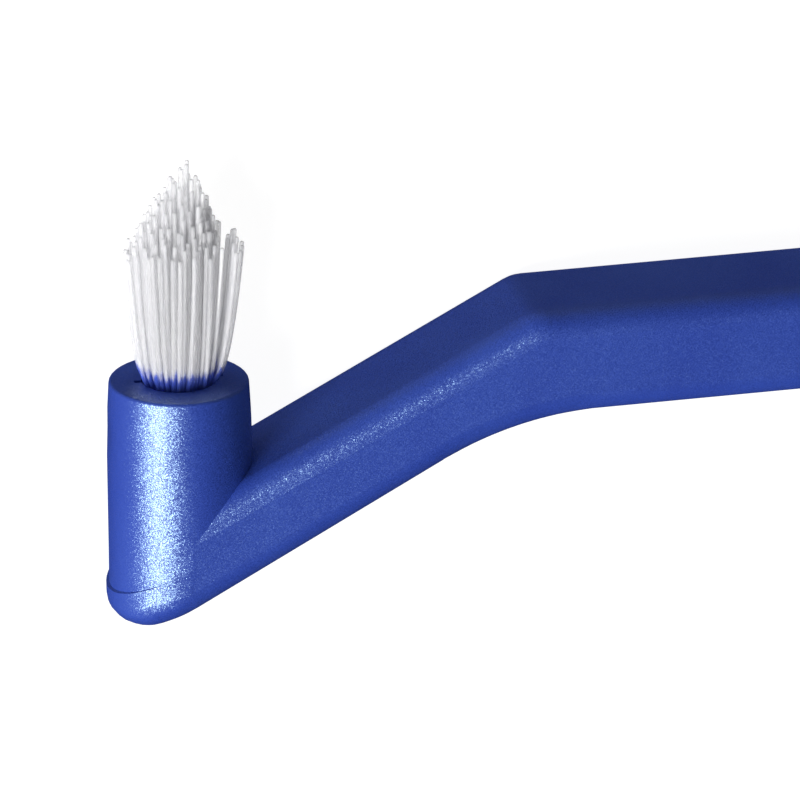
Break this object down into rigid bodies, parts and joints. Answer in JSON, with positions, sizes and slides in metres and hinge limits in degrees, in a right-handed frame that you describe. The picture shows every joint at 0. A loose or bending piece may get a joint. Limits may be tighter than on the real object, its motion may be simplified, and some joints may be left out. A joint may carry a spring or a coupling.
{
  "type": "single-tuft toothbrush",
  "caption": "Single-tuft interspace toothbrush: a cone-cut tuft of clear filaments in a round head post, an angled arm and a one-piece pearl blue handle.",
  "frame": {"origin": "centre of the tuft hole's mouth, on the head's flat top face", "axes": "+X along the handle, from the head towards the tail; +Y up the tuft, out of the head; +Z across the width of the brush, up from the table it lies on"},
  "size_m": [0.1663, 0.0208, 0.0064],
  "materials": {
    "pearl_blue_plastic": "satin moulded plastic with pearl pigment",
    "anchor_metal": "rolled nickel silver strip",
    "clear_nylon": "clear drawn nylon"
  },
  "bodies": {
    "root": {"handle": "pearl_blue_plastic", "tuft_anchor": "anchor_metal", "tuft_filaments": "clear_nylon"}
  },
  "joints": []
}
